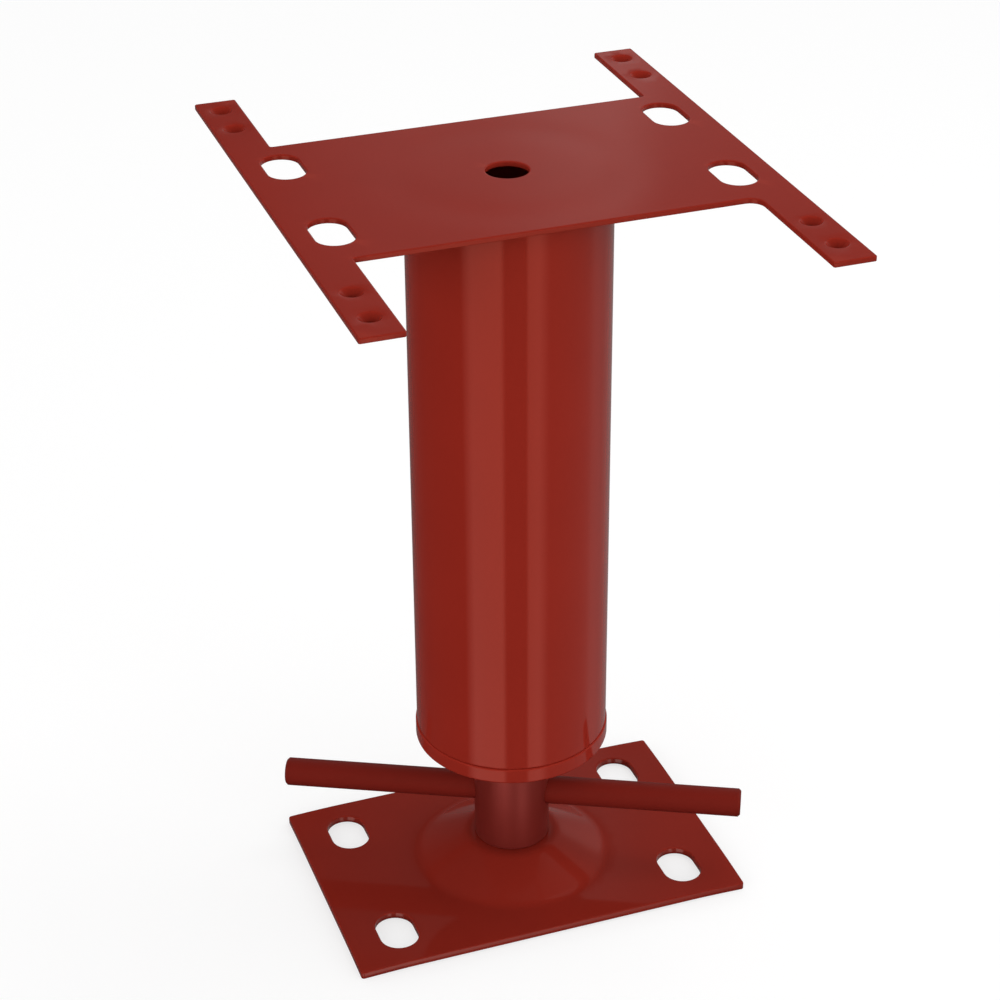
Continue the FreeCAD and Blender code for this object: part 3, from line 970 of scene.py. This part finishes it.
def makeFloor():
    mesh = bpy.data.meshes.new("floor")
    half = studio["floorHalf"]
    mesh.from_pydata([(-half, -half, 0), (half, -half, 0), (half, half, 0), (-half, half, 0)], [], [(0, 1, 2, 3)])
    material = bpy.data.materials.new("floorPaper")
    tree = nodeTree(material)
    rays = addNode(tree, "ShaderNodeLightPath", "rays")
    paper = addNode(tree, "ShaderNodeBsdfDiffuse", "paper")
    tone = addNode(tree, "ShaderNodeMix", "pale to the camera, little bounce",
                   {"A": [studio["floorBounce"]] * 3 + [1], "B": [studio["floorColor"]] * 3 + [1]}, data_type="RGBA")
    glow = addNode(tree, "ShaderNodeEmission", "white ground")
    level = addNode(tree, "ShaderNodeMath", "seen by the camera or through glass", operation="MAXIMUM")
    scale = addNode(tree, "ShaderNodeMath", "ground level", {1: studio["floorGlow"]}, operation="MULTIPLY")
    both = addNode(tree, "ShaderNodeAddShader", "paper and ground")
    out = addNode(tree, "ShaderNodeOutputMaterial", "out")
    wire(tree, (rays, "Is Camera Ray", tone, "Factor"), (tone, "Result", paper, "Color"),
         (rays, "Is Camera Ray", level, 0), (rays, "Is Transmission Ray", level, 1), (level, "Value", scale, 0),
         (scale, "Value", glow, "Strength"), (paper, "BSDF", both, 0), (glow, "Emission", both, 1),
         (both, "Shader", out, "Surface"))
    floor = addPiece("floor", mesh, material)
    floor.visible_glossy = False


def makeWorld():
    # the camera sees white, matt paint a soft fill, and gloss the panels and flags that its highlights show
    spec = studio
    world = bpy.data.worlds.new("studio")
    bpy.context.scene.world = world
    world.use_nodes = True
    tree = world.node_tree
    tree.nodes.clear()
    place = addNode(tree, "ShaderNodeTexCoord", "way out")
    parts = addNode(tree, "ShaderNodeSeparateXYZ", "way parts")
    turn = addNode(tree, "ShaderNodeMath", "turn", operation="ARCTAN2")
    fromCamera = addNode(tree, "ShaderNodeMath", "turn from the camera side",
                         {1: math.radians(cameraPlace["turn"] - 90)}, operation="SUBTRACT")
    share = addNode(tree, "ShaderNodeMath", "share of a turn", {1: 2 * math.pi}, operation="DIVIDE")
    half = addNode(tree, "ShaderNodeMath", "half turn on", {1: 0.5}, operation="ADD")
    wrap = addNode(tree, "ShaderNodeMath", "within one turn", operation="FRACT")
    lowBands = addNode(tree, "ShaderNodeValToRGB", "panels and flags below")
    highBands = addNode(tree, "ShaderNodeValToRGB", "panels and flags above")
    for node, rows in ((lowBands, spec["lowBands"]), (highBands, spec["highBands"])):
        ramp = node.color_ramp
        ramp.interpolation = "LINEAR"
        # a new ramp has its two ends, which lie at -180 and 180 degrees
        for element, (angle, value) in zip(ramp.elements, (rows[0], rows[-1])):
            element.color = (value, value, value, 1)
        for angle, value in rows[1:-1]:
            ramp.elements.new((angle + 180) / 360).color = (value, value, value, 1)
    fade = addNode(tree, "ShaderNodeMapRange", "dimmer higher up",
                   {"From Min": heightOf(spec["highFadeFrom"]), "From Max": heightOf(spec["highFadeTo"]),
                    "To Min": 1, "To Max": spec["highFade"]})
    highDim = addNode(tree, "ShaderNodeVectorMath", "above, dimmed", operation="SCALE")
    underfoot = addNode(tree, "ShaderNodeMapRange", "dark straight below",
                        {"From Min": -heightOf(spec["underfootTo"]), "From Max": -heightOf(spec["underfootFrom"]),
                         "To Min": spec["underfoot"], "To Max": 1})
    lowDim = addNode(tree, "ShaderNodeVectorMath", "below, dimmed", operation="SCALE")
    level = addNode(tree, "ShaderNodeMapRange", "below or above",
                    {"From Min": -spec["eyeLevelBlend"], "From Max": spec["eyeLevelBlend"]})
    bands = addNode(tree, "ShaderNodeMix", "all round", data_type="RGBA")
    rays = addNode(tree, "ShaderNodeLightPath", "rays")
    fill = addNode(tree, "ShaderNodeBackground", "soft fill")
    ring = addNode(tree, "ShaderNodeMapRange", "brighter towards the horizon",
                   {"From Min": heightOf(spec["ringTop"] - spec["ringSoftness"]),
                    "From Max": heightOf(spec["ringTop"] + spec["ringSoftness"]),
                    "To Min": spec["ringFill"], "To Max": spec["fill"]})
    white = addNode(tree, "ShaderNodeBackground", "white surroundings", {"Color": (1, 1, 1, 1), "Strength": 1})
    seen = addNode(tree, "ShaderNodeBackground", "surroundings in gloss", {"Strength": 1})
    glossMix = addNode(tree, "ShaderNodeMixShader", "gloss or fill")
    cameraMix = addNode(tree, "ShaderNodeMixShader", "camera or rest")
    out = addNode(tree, "ShaderNodeOutputWorld", "out")
    wire(tree, (place, "Generated", parts, "Vector"), (parts, "Y", turn, 0), (parts, "X", turn, 1),
         (turn, "Value", fromCamera, 0), (fromCamera, "Value", share, 0), (share, "Value", half, 0),
         (half, "Value", wrap, 0), (wrap, "Value", lowBands, "Fac"), (wrap, "Value", highBands, "Fac"),
         (parts, "Z", fade, "Value"), (parts, "Z", ring, "Value"), (parts, "Z", level, "Value"),
         (parts, "Z", underfoot, "Value"), (ring, "Result", fill, "Strength"), (highBands, "Color", highDim, 0),
         (fade, "Result", highDim, "Scale"), (level, "Result", bands, "Factor"), (lowBands, "Color", lowDim, 0),
         (underfoot, "Result", lowDim, "Scale"), (lowDim, "Vector", bands, "A"), (highDim, "Vector", bands, "B"),
         (bands, "Result", seen, "Color"), (rays, "Is Glossy Ray", glossMix, "Fac"),
         (fill, "Background", glossMix, 1), (seen, "Background", glossMix, 2),
         (rays, "Is Camera Ray", cameraMix, "Fac"), (glossMix, "Shader", cameraMix, 1),
         (white, "Background", cameraMix, 2), (cameraMix, "Shader", out, "Surface"))


def makeLamps():
    for name, spot, aim, width, height, watts in studio["lamps"]:
        data = bpy.data.lights.new(name, "AREA")
        data.shape = "RECTANGLE"
        data.size = width
        data.size_y = height
        data.energy = watts
        lamp = newObject(name, data)
        way = Vector(aim) - Vector(spot)
        lamp.matrix_world = Matrix.Translation(spot) @ way.to_track_quat("-Z", "Y").to_matrix().to_4x4()
        lamp.visible_glossy = False


makeCamera()
makeFloor()
makeWorld()
makeLamps()
bpy.context.scene.view_settings.view_transform = "Standard"
print("camera, floor and light made")
